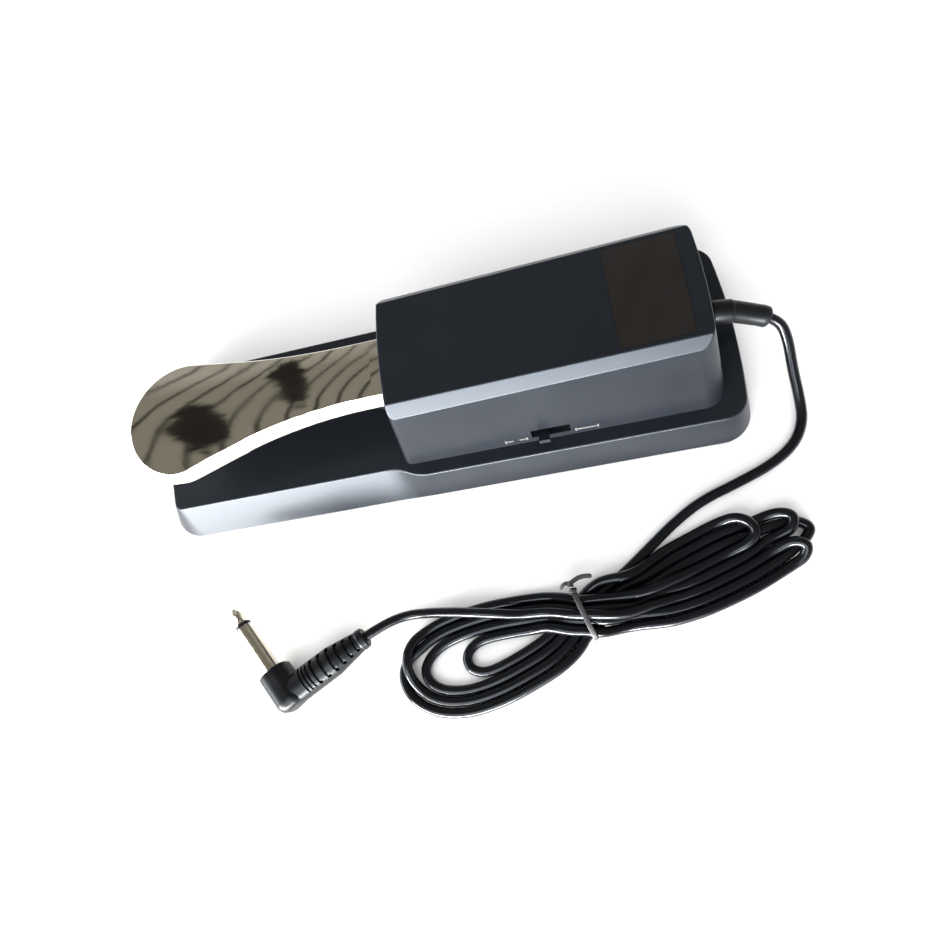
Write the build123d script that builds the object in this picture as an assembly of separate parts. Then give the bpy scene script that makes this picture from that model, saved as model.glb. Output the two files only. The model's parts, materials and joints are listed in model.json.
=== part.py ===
from build123d import *
import math
import os

# Sustain pedal. Millimetres, +Z up. +X runs to the cord end, the treadle is at -X.
# The origin is at the middle of the footprint, on the floor.

os.makedirs("parts", exist_ok=True)

# ---------------------------------------------------------------- driving dimensions
# base casing
BASE_LEN = 247.0          # over the floor line, bows included
BASE_HALF = 40.3          # half width at the floor line
BASE_FOOT = 1.0           # lower edge of the casing above the floor
DECK_Z = 15.3             # deck and ledge height
DECK_HALF = 31.0          # half width of the deck top
LEDGE_HALF = 35.7         # half width of the ledge top
DECK_FRONT_X = -114.1     # middle of the bowed front edge of the deck
LEDGE_REAR_X = 120.1      # middle of the bowed rear edge of the ledge
FLARE_X = (-18.2, -0.7)   # the deck widens to the ledge between these
FRONT_BOW = 168.0         # plan radius of the front edge
REAR_BOW = 237.0          # plan radius of the rear edge
WALL = 2.5
SOFT_EDGE = 0.8           # rounding of the moulded top edges

# upper housing
HOUSE_FRONT_X = -9.7      # at the ledge
HOUSE_REAR_X = 111.3
HOUSE_HALF = 30.3
HOUSE_LIFT = 56.0         # height at which the tapered block ends before the roof is cut
HOUSE_TOP_FRONT_X = -4.0
HOUSE_TOP_REAR_X = 105.0
HOUSE_TOP_HALF = 22.2
HOUSE_BOW = 1.2           # how far the front and rear faces bulge
ROOF_FRONT = (-4.7, 51.0)
ROOF_REAR = (105.3, 54.0)
ROOF_HALF = 20.0
CHAMFER_SLOPE = 48.0      # degrees below level
LABEL_X = (76.1, 100.3)
LABEL_HALF = 18.6
LABEL_THICK = 1.2
MOUTH_HALF = 15.8         # opening for the lever
MOUTH_TOP = 46.0

# lever
NECK_HALF = 13.8
PADDLE_X = -96.4
PADDLE_R = 25.5
SHOULDER = 13.0           # degrees, taper of the outline into the paddle
SHOULDER_X = -70.0
LEVER_TAIL_X = 75.0
LEVER_TOP = 42.5
LEVER_EDGE = 30.5         # lower edge of the flanges inside the housing
LEVER_CREST = [(-12, LEVER_TOP), (-45, 41.4), (-73, 39.3), (-96, 37.0), (-116, 34.6), (-126, 33.2)]
LEVER_HEM = [(-12, 36.5), (-45, 35.2), (-73, 32.4), (-96, 29.4), (-116, 28.3), (-126, 27.8)]
LEVER_CROWN = 130.0       # radius of the treadle's cross section
LEVER_SHEET = 2.0
LEVER_BAND = (2.5, 4.4)   # steep band round the treadle's edge: its width in plan and its height
BAND_SOFT = 1.0           # rounding between the crown and the band
HEM_X = -5.5              # the flanges are deep behind this
PIVOT_X = 45.0
PIVOT_Z = 35.0
PIN_R = 3.0
PIN_FIT = 0.05
BUSH_R = 4.6
PRESS_DEG = 4.0

# mechanism
SPRING_X = 12.0
SPRING_R = 6.2
SPRING_WIRE = 1.6
SPRING_TURNS = 7
SPRING_Z = (18.9, 38.4)
STOP_GAP = 0.3
REST_X = (67.5, 73.0)
SWITCH_X = 28.0
SWITCH_Y = -12.3
POLARITY_X = 48.0
POLARITY_Z = 20.2
SLIDER_X = 45.4
SLIDER_TRAVEL = 5.2
SCREW_Y = 20.0
SCREW_X = (3.0, 97.0)

# cord, plug and hank
CORD_R = 1.9
EXIT_Z = 28.0
PLUG_ELBOW = (-67.8, -108.5, 6.4)
SHAFT_DEG = 124.0
GRIP_DEG = 28.4
GRIP_DROP = 1.2           # degrees, the grip sinks towards its cord end
GRIP_LEN = 36.5
GRIP_OFFSET = 1.2         # grip's axis below the elbow's centre, towards the heel
GRIP_FORM = [(6.0, 0), (5.9, 21), (4.0, 33.4), (4.2, 34.0), (4.1, 35.9), (3.5, 36.5)]
GRIP_GROOVES = [(8.6, 0.35), (10.2, 0.35), (11.8, 0.35), (14.2, 0.7), (18.0, 0.75), (21.8, 0.75),
                (25.4, 0.75), (28.8, 0.7), (32.0, 0.6)]
JACK_R = 3.175            # a 6.35 mm plug
HEAD_FACE = 9.8           # elbow's end face, from the elbow's centre along the shaft
SLEEVE_LEN = 22.0
RING_LEN = 1.4            # insulator between sleeve and tip
TIE_AT = (48.6, -95.7)
TIE_DEG = 16.7
HANK_TOP = 10.6


def box(x0, x1, y0, y1, z0, z1):
    """An axis-aligned block between two corners."""
    centre = ((x0 + x1) / 2, (y0 + y1) / 2, (z0 + z1) / 2)
    return Pos(*centre) * Box(abs(x1 - x0), abs(y1 - y0), abs(z1 - z0))


def rod(x, y, z0, z1, radius):
    """An upright cylinder."""
    return Pos(x, y, (z0 + z1) / 2) * Cylinder(radius, abs(z1 - z0))


def cross_rod(x, z, y0, y1, radius):
    """A cylinder along Y."""
    return Pos(x, (y0 + y1) / 2, z) * Rot(90, 0, 0) * Cylinder(radius, abs(y1 - y0))


def long_rod(y, z, x0, x1, radius):
    """A cylinder along X."""
    return Pos((x0 + x1) / 2, y, z) * Rot(0, 90, 0) * Cylinder(radius, abs(x1 - x0))


def save(shape, name):
    export_step(shape, f"parts/{name}.step")


# ---------------------------------------------------------------- base casing
def footprint(z, front, rear, deck, ledge, flare, corner_front, corner_rear):
    """Plan outline with bowed ends. The side steps from deck to ledge width at the flare."""
    def bow_x(middle, y, radius, sign):
        return middle + sign * (radius - math.sqrt(radius ** 2 - y ** 2))

    front_corner = bow_x(front, deck, FRONT_BOW, 1)
    rear_corner = bow_x(rear, ledge, REAR_BOW, -1)
    mid = (flare[0] + flare[1]) / 2
    half = (deck + ledge) / 2
    edges = [ThreePointArc((front_corner, deck), (front, 0), (front_corner, -deck))]
    edges += [ThreePointArc((rear_corner, -ledge), (rear, 0), (rear_corner, ledge))]
    for side in (-1, 1):
        start, middle, end = (flare[0], side * deck), (mid, side * half), (flare[1], side * ledge)
        edges += [Line((front_corner, side * deck), start), Line(end, (rear_corner, side * ledge))]
        if ledge > deck:
            edges += [TangentArc(start, middle, tangent=(1, 0))]
            edges += [TangentArc(end, middle, tangent=(-1, 0))]
        else:
            edges += [Line(start, middle), Line(middle, end)]
    face = make_face(edges)
    corners = face.vertices()
    nose = [v for v in corners if v.X < flare[0] - 20]
    tail = [v for v in corners if v.X > flare[1] + 20]
    face = fillet(nose, corner_front)
    tail = [v for v in face.vertices() if v.X > rear_corner - 0.5]
    return Pos(0, 0, z) * fillet(tail, corner_rear)


def base_block(inset, z0, z1):
    """The casing's outer form between two heights, or its cavity when inset."""
    half_len = BASE_LEN / 2
    low = footprint(0, -half_len + inset, half_len - inset, BASE_HALF - inset,
                    BASE_HALF - inset, FLARE_X, 14.0 - inset, 12.0 - inset)
    high = footprint(DECK_Z, DECK_FRONT_X + inset, LEDGE_REAR_X - inset, DECK_HALF - inset,
                     LEDGE_HALF - inset, FLARE_X, max(3.0 - inset, 0.8), 8.5 - inset)
    block = loft([low, high], ruled=True)
    return block & box(-200, 200, -100, 100, z0, z1)


def screw_posts():
    """Places of the four screws that hold the housing to the base."""
    return [(x, side * SCREW_Y) for x in SCREW_X for side in (-1, 1)]


PLATE_POSTS = [(x, y) for x in (-96, 68) for y in (-24, 24)]


def base_shell():
    block = base_block(0, BASE_FOOT, DECK_Z)
    rim = [e for e in block.edges() if e.bounding_box().min.Z > DECK_Z - 0.01]
    shell = fillet(rim, SOFT_EDGE) - base_block(WALL, -1, DECK_Z - WALL)
    for x, y in PLATE_POSTS:
        shell += rod(x, y, 6.2, DECK_Z - WALL + 0.1, 4.0)
        shell -= rod(x, y, 6.1, DECK_Z - WALL - 1, 1.35)
    for x, y in screw_posts():
        shell -= rod(x, y, 5, DECK_Z + 1, 1.7)
    # posts for the stops, the circuit board and the spring cup, moulded on the deck
    shell += box(-4, 2, -12.5, 12.5, DECK_Z - 0.1, 24.2)
    shell += box(*REST_X, -12.5, 12.5, DECK_Z - 0.1, 27.1) - box(60, 80, -6, 6, 0, 24)
    for x, y in BOARD_POSTS:
        shell += rod(x, y, DECK_Z - 0.1, 17.8, 2.6)
        shell -= rod(x, y, DECK_Z - 1.5, 18, 0.95)
    for x, y in BRACKET_SCREWS:
        shell += rod(x, y, DECK_Z - 5.5, DECK_Z - 1, 3.4)
        shell -= rod(x, y, DECK_Z - 4.5, DECK_Z + 0.1, 1.35)
    for y in CLAMP_SCREWS:
        shell += rod(CLAMP_X, y, DECK_Z - 5.5, DECK_Z - 1, 3.0)
        shell -= rod(CLAMP_X, y, DECK_Z - 4.5, DECK_Z + 0.1, 1.1)
    return shell


def weight_plate():
    plate = box(-104, 104, -33, 33, 3.0, 6.2)
    plate = fillet(plate.edges().filter_by(Axis.Z), 6)
    for x, y in PLATE_POSTS:
        plate -= rod(x, y, 2, 7, 1.8)
    return plate


def plate_screws():
    screws = []
    for x, y in PLATE_POSTS:
        screws.append(rod(x, y, 1.6, 3.0, 3.0) + rod(x, y, 2.9, 11.0, 1.35))
    return Compound(children=screws)


def rubber_mat():
    mat = base_block(5.0, 0, 2.4)
    for x, y in PLATE_POSTS:
        mat -= rod(x, y, -1, 3, 4.2)
    # shallow tread grooves across the underside
    for i in range(-11, 12):
        mat -= box(i * 9.0 - 0.9, i * 9.0 + 0.9, -27, 27, -0.5, 0.5)
    return mat


# ---------------------------------------------------------------- upper housing
def house_outline(z, front, rear, half, corner_front, corner_rear):
    """Plan outline of the housing at one height, with slightly bowed ends."""
    edges = [
        ThreePointArc((front, half), (front - HOUSE_BOW, 0), (front, -half)),
        Line((front, -half), (rear, -half)),
        ThreePointArc((rear, -half), (rear + HOUSE_BOW, 0), (rear, half)),
        Line((rear, half), (front, half)),
    ]
    face = make_face(edges)
    face = fillet([v for v in face.vertices() if v.X < 50], corner_front)
    rear_corners = [v for v in face.vertices() if v.X > rear - 0.5]
    return Pos(0, 0, z) * fillet(rear_corners, corner_rear)


def roof_prism(inset):
    """Everything below the sloping roof and its two chamfers."""
    rise = (ROOF_REAR[1] - ROOF_FRONT[1]) / (ROOF_REAR[0] - ROOF_FRONT[0])
    drop = 30 * math.tan(math.radians(CHAMFER_SLOPE))
    sections = []
    for x in (-30.0, 130.0):
        top = ROOF_FRONT[1] + rise * (x - ROOF_FRONT[0]) - inset
        half = ROOF_HALF - inset * math.tan(math.radians(CHAMFER_SLOPE / 2))
        wide = half + 30
        points = [(-wide, 0), (wide, 0), (wide, top - drop), (half, top), (-half, top), (-wide, top - drop)]
        outline = make_face(Polyline(*points, close=True))
        sections.append(Plane(origin=(x, 0, 0), x_dir=(0, 1, 0), z_dir=(1, 0, 0)) * outline)
    return loft(sections, ruled=True)


def house_block(inset, z0):
    low = house_outline(DECK_Z, HOUSE_FRONT_X + inset, HOUSE_REAR_X - inset,
                        HOUSE_HALF - inset, 2.8, 8.0 - inset)
    high = house_outline(HOUSE_LIFT, HOUSE_TOP_FRONT_X + inset, HOUSE_TOP_REAR_X - inset,
                         HOUSE_TOP_HALF - inset, 2.8, 5.5 - inset)
    block = loft([low, high], ruled=True) & roof_prism(inset)
    return block & box(-200, 200, -100, 100, z0, 100)


def side_frame(x, z):
    """A frame lying on the housing's near side wall: x along the wall, z out of it."""
    lean = math.degrees(math.atan((HOUSE_HALF - HOUSE_TOP_HALF) / (HOUSE_LIFT - DECK_Z)))
    y = -(HOUSE_HALF - math.tan(math.radians(lean)) * (z - DECK_Z))
    return Pos(x, y, z) * Rot(90 - lean, 0, 0)


def roof_frame(x):
    """A frame lying on the sloping roof."""
    rise = (ROOF_REAR[1] - ROOF_FRONT[1]) / (ROOF_REAR[0] - ROOF_FRONT[0])
    z = ROOF_FRONT[1] + rise * (x - ROOF_FRONT[0])
    return Pos(x, 0, z) * Rot(0, -math.degrees(math.atan(rise)), 0)


def label_block(extra, thickness):
    middle = sum(LABEL_X) / 2
    length = LABEL_X[1] - LABEL_X[0] + 2 * extra
    width = 2 * (LABEL_HALF + extra)
    plate = Box(length, width, thickness, align=(Align.CENTER, Align.CENTER, Align.MAX))
    plate = fillet(plate.edges().filter_by(Axis.Z), 1.2 + extra)
    return roof_frame(middle) * plate


def housing_cover():
    block = house_block(0, DECK_Z)
    roof_edges = [e for e in block.edges() if e.bounding_box().min.Z > DECK_Z + 20]
    cover = fillet(roof_edges, SOFT_EDGE) - house_block(WALL, 0)
    cover -= box(-20, 6, -MOUTH_HALF, MOUTH_HALF, DECK_Z - 1, MOUTH_TOP)
    cover -= label_block(0.1, LABEL_THICK)
    inner = house_block(WALL, DECK_Z)
    for x, y in screw_posts():
        cover += rod(x, y, DECK_Z + 0.1, 52, 3.6) & inner
        cover -= rod(x, y, DECK_Z - 1, DECK_Z + 14, 1.35)
    cover -= side_frame(POLARITY_X, POLARITY_Z) * Box(14.5, 4.6, 12)
    cover -= long_rod(0, EXIT_Z, 100, 120, 3.7)
    return cover


def label_plate():
    return label_block(0, LABEL_THICK)


def housing_screws():
    screws = []
    for x, y in screw_posts():
        head = rod(x, y, DECK_Z - WALL - 2.2, DECK_Z - WALL, 3.0)
        screws.append(head + rod(x, y, DECK_Z - WALL - 0.1, DECK_Z + 12, 1.35))
    return Compound(children=screws)


# ---------------------------------------------------------------- lever
def lever_outline(inset):
    """Plan of the lever: straight tail and neck, a long flare and a round paddle."""
    angle = math.radians(SHOULDER)
    neck = NECK_HALF - inset
    radius = PADDLE_R - inset
    touch = (PADDLE_X + radius * math.sin(angle), radius * math.cos(angle))
    knee_y = touch[1] - math.tan(angle) * (SHOULDER_X - touch[0])
    flare_r = (knee_y - neck) / (1 - math.cos(angle))
    flare_x = SHOULDER_X + flare_r * math.sin(angle)
    tail = LEVER_TAIL_X
    tip = (PADDLE_X - radius, 0)
    half_angle = angle / 2
    edges = [ThreePointArc(touch, tip, (touch[0], -touch[1])), Line((tail, -neck), (tail, neck))]
    for side in (-1, 1):
        mid = (flare_x - flare_r * math.sin(half_angle),
               side * (neck + flare_r * (1 - math.cos(half_angle))))
        edges += [
            Line((tail, side * neck), (flare_x, side * neck)),
            ThreePointArc((flare_x, side * neck), mid, (SHOULDER_X, side * knee_y)),
            Line((SHOULDER_X, side * knee_y), (touch[0], side * touch[1])),
        ]
    return make_face(edges)


def crown_drop(y):
    """How far the crowned top lies below its crest at a distance from the middle."""
    return LEVER_CROWN - math.sqrt(LEVER_CROWN ** 2 - y ** 2)


def crowned_bar(inset, skirt):
    """A wide bar with the lever's crowned top, level in the housing and dipping to the tip."""
    tail, half, depth = 90, 34, 24 + skirt
    crest = [(x, z - inset) for x, z in LEVER_CREST]
    edge = -crown_drop(half)
    section = ThreePointArc((-half, edge), (0, 0), (half, edge)).edges()
    section += Polyline((-half, edge), (-half, -depth), (half, -depth), (half, edge)).edges()
    path = Line((tail, crest[0][1]), crest[0]) + Spline(*crest, tangents=((-1, 0), (-1, -0.14)))
    start = Plane(origin=(tail, 0, crest[0][1]), x_dir=(0, 1, 0), z_dir=(1, 0, 0))
    return sweep(start * make_face(section), path=Plane.XZ * path)


def below_hem():
    """What is cut from under the lever: deep flanges in the housing and a short hem before it."""
    front, tail, low = -130, 90, 0
    outline = Polyline(LEVER_HEM[-1], (front, LEVER_HEM[-1][1]), (front, low), (tail, low),
                       (tail, LEVER_EDGE), (HEM_X, LEVER_EDGE), LEVER_HEM[0])
    face = make_face(Spline(*LEVER_HEM).edges() + outline.edges())
    return extrude(Plane(origin=(0, 60, 0), x_dir=(1, 0, 0), z_dir=(0, -1, 0)) * face, 120)


def crest_height(x):
    """Height of the crest's points, joined straight."""
    for (x1, z1), (x0, z0) in zip(LEVER_CREST, LEVER_CREST[1:]):
        if x0 <= x <= x1:
            return z0 + (z1 - z0) * (x - x0) / (x1 - x0)
    return LEVER_TOP


def crown_rim(block, inset):
    """Edges of the crowned top, without those straight across it."""
    rim = []
    for edge in block.edges():
        at = edge @ 0.5
        above = at.Z - crest_height(at.X) + crown_drop(at.Y) + inset
        if abs(above) < 0.4 and (abs(at.Y) > 1 or at.X < PADDLE_X):
            rim.append(edge)
    return rim


def lever_block(inset, skirt, band):
    block = extrude(lever_outline(inset), 60) & crowned_bar(inset, skirt)
    rim = crown_rim(block, inset)
    crown = max(block.faces(), key=lambda face: sum(edge in rim for edge in face.edges()))
    return chamfer([edge for edge in rim if edge in crown.edges()], *band, reference=crown)


def pedal_lever():
    width, height = LEVER_BAND
    outer = lever_block(0, 0, LEVER_BAND)
    outer = fillet(crown_rim(outer, 0), BAND_SOFT)
    inner = lever_block(LEVER_SHEET, 5, (width * 0.65, height * 0.78))
    lever = outer - inner - below_hem()
    lever -= cross_rod(PIVOT_X, PIVOT_Z, -20, 20, BUSH_R)
    # the seat boss of the spring passes through the web
    lever -= rod(SPRING_X, 0, 39, 45, 2.0)
    return lever


def lever_bushes():
    bushes = []
    for side in (-1, 1):
        sleeve = cross_rod(PIVOT_X, PIVOT_Z, side * (NECK_HALF - LEVER_SHEET - 0.6), side * 15.7, BUSH_R)
        collar = cross_rod(PIVOT_X, PIVOT_Z, side * NECK_HALF, side * 15.7, 6.0)
        bore = cross_rod(PIVOT_X, PIVOT_Z, -20, 20, PIN_R + PIN_FIT)
        bushes.append(sleeve + collar - bore)
    return Compound(children=bushes)


def spring_seat():
    """Moulded seat clipped under the lever's web, centring the spring."""
    radius = 7.2
    top = LEVER_TOP - LEVER_SHEET - crown_drop(radius)
    seat = rod(SPRING_X, 0, SPRING_Z[1], top, radius)
    seat += rod(SPRING_X, 0, SPRING_Z[1] - 4, SPRING_Z[1] + 0.1, SPRING_R - 1.4)
    seat += rod(SPRING_X, 0, top - 0.1, top + 1.7, 1.95)
    return seat


# ---------------------------------------------------------------- pivot and stops
BRACKET_SCREWS = [(x, y) for x in (40.2, 50.8) for y in (-8, 8)]


def pivot_bracket():
    """Bent steel bracket: a foot on the deck and two ears with the pin holes."""
    bracket = box(36.6, 54.4, -18, 18, DECK_Z, DECK_Z + 2)
    for side in (-1, 1):
        ear = box(37, 53, side * 16, side * 18, DECK_Z, PIVOT_Z) + \
            cross_rod(PIVOT_X, PIVOT_Z, side * 16, side * 18, 8)
        bracket += ear
    bracket -= cross_rod(PIVOT_X, PIVOT_Z, -25, 25, PIN_R + 0.02)
    for x, y in BRACKET_SCREWS:
        bracket -= rod(x, y, DECK_Z - 1, DECK_Z + 3, 1.7)
    return bracket


def bracket_screws():
    screws = []
    for x, y in BRACKET_SCREWS:
        head = rod(x, y, DECK_Z + 2, DECK_Z + 4, 2.9)
        screws.append(head + rod(x, y, DECK_Z - 4, DECK_Z + 2.1, 1.35))
    return Compound(children=screws)


def pivot_pin():
    pin = cross_rod(PIVOT_X, PIVOT_Z, -20, 20, PIN_R)
    for side in (-1, 1):
        groove = cross_rod(PIVOT_X, PIVOT_Z, side * 18.1, side * 18.9, 4) - \
            cross_rod(PIVOT_X, PIVOT_Z, side * 18.0, side * 19.0, PIN_R - 0.6)
        pin -= groove
    return pin


def pin_clips():
    """Open retaining rings snapped into the pin's two grooves."""
    clips = []
    for side in (-1, 1):
        ring = cross_rod(PIVOT_X, PIVOT_Z, side * 18.15, side * 18.85, 4.6)
        ring -= cross_rod(PIVOT_X, PIVOT_Z, side * 18.0, side * 19.0, PIN_R - 0.55)
        ring -= box(PIVOT_X - 1.4, PIVOT_X + 1.4, side * 17.9, side * 19.1, PIVOT_Z - 6, PIVOT_Z)
        clips.append(ring)
    return Compound(children=clips)


def return_spring():
    """Coil spring under the lever, in front of the pivot."""
    height = SPRING_Z[1] - SPRING_Z[0] - SPRING_WIRE - 0.1
    pitch = height / SPRING_TURNS
    path = Helix(pitch, height, SPRING_R)
    start = Plane(origin=path @ 0, z_dir=path % 0)
    coil = sweep(start * Circle(SPRING_WIRE / 2), path=path, is_frenet=True)
    return Pos(SPRING_X, 0, SPRING_Z[0] + SPRING_WIRE / 2 + 0.05) * coil


def spring_cup():
    cup = rod(SPRING_X, 0, DECK_Z, 22.4, 9.0) - rod(SPRING_X, 0, SPRING_Z[0], 23, 7.4)
    cup += rod(SPRING_X, 0, SPRING_Z[0] - 0.1, SPRING_Z[0] + 4, SPRING_R - 1.4)
    return cup


def down_stop_pad():
    """Soft bar that the lever's flanges land on when the pedal is fully down."""
    fall = (PIVOT_X + 4) * math.sin(math.radians(PRESS_DEG))
    return box(-4, 2, -13.4, 13.4, 24.2, LEVER_EDGE - fall - STOP_GAP)


def rest_stop_pad():
    """Soft bar under the tail, which the spring holds the lever against."""
    return box(*REST_X, -13.4, 13.4, 27.1, LEVER_EDGE - STOP_GAP)


# ---------------------------------------------------------------- switches
BOARD_Z = (17.8, 19.4)
BOARD_POSTS = [(25.0, 1.8), (31.4, 1.8)]


def circuit_board():
    board = box(21.6, 34.4, -22, 4.6, *BOARD_Z)
    for x, y in BOARD_POSTS:
        board -= rod(x, y, 17, 20, 1.2)
    return board


def board_screws():
    screws = []
    for x, y in BOARD_POSTS:
        head = rod(x, y, BOARD_Z[1], BOARD_Z[1] + 1.5, 2.0)
        screws.append(head + rod(x, y, DECK_Z - 1.2, BOARD_Z[1] + 0.1, 0.95))
    return Compound(children=screws)


def momentary_switch():
    body = box(SWITCH_X - 6.2, SWITCH_X + 6.2, SWITCH_Y - 2.9, SWITCH_Y + 2.9, BOARD_Z[1], 27.2)
    body -= rod(SWITCH_X, SWITCH_Y, 24.0, 28, 1.35)
    return body


def switch_plunger():
    plunger = rod(SWITCH_X, SWITCH_Y, 25.6, LEVER_EDGE - STOP_GAP, 1.25)
    return plunger


def polarity_switch():
    """Slide switch behind the slot in the near side wall."""
    frame = side_frame(POLARITY_X, POLARITY_Z)
    body = Pos(0, 0, -5.4) * Box(17.0, 6.0, 5.4)
    reach = SLIDER_X - POLARITY_X + SLIDER_TRAVEL / 2
    body -= Pos(reach, 0, -3.3) * Box(5.2 + SLIDER_TRAVEL, 3.0, 3.0)
    pins = [Pos(4 * i, 0, -9.0) * Box(0.9, 0.5, 2.0) for i in (-1, 0, 1)]
    for pin in pins:
        body += pin
    return frame * body


def polarity_slider():
    """Finger knob of the slide switch, with its foot inside the switch body."""
    frame = side_frame(SLIDER_X, POLARITY_Z)
    foot = Pos(0, 0, -3.6) * Box(4.6, 2.4, 1.6)
    stem = Pos(0, 0, 0.5) * Box(4.0, 2.0, 7.0)
    return frame * (foot + stem)


# ---------------------------------------------------------------- cord inside the housing
CLAMP_X = 82.0
CLAMP_SCREWS = (-8.0, 8.0)
CORD_FLOOR_Z = DECK_Z + CORD_R + 0.05


def tube(points, radius, name):
    """A round tube along straight runs joined by arcs as large as the runs allow."""
    vectors = [Vector(*p) for p in points]
    radii = corner_radii(vectors)
    print(name, "radii", [round(r, 1) for r in radii])
    path = FilletPolyline(*points, radius=radii)
    start = Plane(origin=vectors[0], z_dir=vectors[1] - vectors[0])
    body = sweep(start * Circle(radius), path=path)
    print(name, "length", round(path.length, 1), "volume ratio",
          round(body.volume / (math.pi * radius ** 2 * path.length), 4))
    return body


def corner_radii(vectors):
    radii = []
    for before, at, after in zip(vectors, vectors[1:], vectors[2:]):
        first, second = at - before, after - at
        turn = math.radians(first.get_angle(second))
        radii.append(0.45 * min(first.length, second.length) / math.tan(turn / 2))
    return radii


def inner_cord():
    """The cord's last stretch, from the strain relief down to the clamp."""
    points = [(RELIEF[0][0], 0, EXIT_Z), (98.6, 0, 26.4), (90.8, 0, 18.7), (84.4, 0, 17.4), (77.6, 0, CORD_FLOOR_Z)]
    return tube(points, CORD_R, "inner_cord")


def cable_clamp():
    clamp = box(CLAMP_X - 4, CLAMP_X + 4, -11, 11, DECK_Z, DECK_Z + 1.4)
    arch = long_rod(0, CORD_FLOOR_Z + 0.2, CLAMP_X - 4, CLAMP_X + 4, CORD_R + 2.0)
    clamp += arch & box(60, 120, -20, 20, DECK_Z, 40)
    hollow = long_rod(0, CORD_FLOOR_Z + 0.2, CLAMP_X - 5, CLAMP_X + 5, CORD_R + 0.5)
    hollow += box(CLAMP_X - 5, CLAMP_X + 5, -CORD_R - 0.5, CORD_R + 0.5, DECK_Z - 1, CORD_FLOOR_Z + 0.2)
    clamp -= hollow
    for y in CLAMP_SCREWS:
        clamp -= rod(CLAMP_X, y, DECK_Z - 1, DECK_Z + 2, 1.4)
    return clamp


def clamp_screws():
    screws = []
    for y in CLAMP_SCREWS:
        head = rod(CLAMP_X, y, DECK_Z + 1.4, DECK_Z + 3.0, 2.3)
        screws.append(head + rod(CLAMP_X, y, DECK_Z - 4, DECK_Z + 1.5, 1.1))
    return Compound(children=screws)


def signal_wires():
    """The cord's two cores, from its cut end to the circuit board."""
    wires = []
    for side in (-1, 1):
        points = [(77.5, side * 0.8, CORD_FLOOR_Z), (66.0, side * 2.2, 19.4), (55.0, side * 2.6, 22.6),
                  (41.0, side * 1.4 - 1.2, 22.4), (31.5, side * 1.4 - 4.4, BOARD_Z[1] + 0.7)]
        wires.append(tube(points, 0.6, "signal_wire"))
    return Compound(children=wires)


def switch_wires():
    """Three short links between the polarity switch and the circuit board."""
    wires = []
    for i in range(3):
        points = [(44.0 + 4 * i, -19.1, 18.1), (42.6 + 3.4 * i, -19.7, 20.2 + 1.5 * i),
                  (37.0, -19.7, 21.3 + 1.3 * i), (32.4, -17.4 - 1.7 * i, BOARD_Z[1] + 0.7)]
        wires.append(tube(points, 0.5, "switch_wire"))
    return Compound(children=wires)


# ---------------------------------------------------------------- strain relief and free cord
RELIEF = [(104.6, 0, EXIT_Z), (111.5, 0, EXIT_Z), (118.0, -0.4, EXIT_Z - 0.8), (124.5, -1.6, EXIT_Z - 2.9),
          (130.2, -3.4, EXIT_Z - 5.6)]
EXIT = RELIEF[-1]

# From the strain relief over the edge of the base and along the floor to the hank.
RUN = [EXIT, (134.37, -4.72, 20.42), (136.6, -10.4, 16.0), (137.3, -19.5, 9.4), (138.3, -28.5, 4.6),
       (138.0, -37.0, 2.2), (132.9, -44.9, 2.0), (123.5, -51.0, 2.0), (110.5, -55.6, 2.0),
       (96.0, -59.8, 2.0), (84.8, -66.2, 2.2), (74.6, -73.6, 3.2), (64.0, -81.2, 5.4), (56.0, -86.0, 6.6)]


def strain_relief():
    """Moulded sleeve that grips the housing's rear wall and bends with the cord."""
    sleeve = tube(RELIEF, 3.5, "strain_relief")
    return sleeve + long_rod(0, EXIT_Z, 104.6, 106.8, 5.2)


def hank_block():
    """The outer form of the hank: a lobe on each side of the tie."""
    waist = Pos(*TIE_AT) * Circle(9.2)
    left = make_hull((Pos(-1.0, -104.5) * Circle(19.4)).edges() + waist.edges())
    right = make_hull((Pos(114.0, -82.6) * Circle(15.2)).edges() + waist.edges())
    return extrude(Pos(0, 0, 0.1) * (left + right), HANK_TOP - 0.1)


def cord_hank():
    """The tied turns, thinned where the tie goes round them."""
    hank = hank_block()
    groove = Pos(*TIE_AT, 0) * Rot(0, 0, TIE_DEG) * (
        box(-1.6, 1.6, -30, 30, -1, 30) - box(-3, 3, -8.4, 8.4, 1.3, HANK_TOP - 1.2))
    return hank - groove


def cable_tie():
    """Flat band round the waist of the hank, with its two twisted ends standing at one side."""
    band = box(-1.4, 1.4, -9.3, 9.3, 0.3, HANK_TOP - 0.2) - box(-3, 3, -8.5, 8.5, 1.2, HANK_TOP - 1.1)
    knot = box(-1.2, 1.2, 8.4, 11.6, 5.6, 8.6)
    return Pos(*TIE_AT, 0) * Rot(0, 0, TIE_DEG) * (band + knot)


def plug_axis(degrees, drop):
    """Unit direction in plan, sinking by drop degrees."""
    flat = math.cos(math.radians(drop))
    angle = math.radians(degrees)
    return Vector(flat * math.cos(angle), flat * math.sin(angle), -math.sin(math.radians(drop)))


SHAFT_DIR = plug_axis(SHAFT_DEG, 0)
GRIP_DIR = plug_axis(GRIP_DEG, GRIP_DROP)
ELBOW = Vector(*PLUG_ELBOW)
GRIP_ROOT = ELBOW - SHAFT_DIR * GRIP_OFFSET
GRIP_END = GRIP_ROOT + GRIP_DIR * GRIP_LEN

# From the hank to the plug's grip.
LEAD = [(11.5, -89.2, 8.0), (1.0, -86.8, 6.4), (-9.0, -85.4, 3.6), (-18.6, -84.8, 2.3),
        tuple(GRIP_END + GRIP_DIR * 9), tuple(GRIP_END)]


def cord_run():
    return tube(RUN, CORD_R, "cord_run") - hank_block()


def cord_lead():
    return tube(LEAD, CORD_R, "cord_lead") - hank_block()


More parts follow.
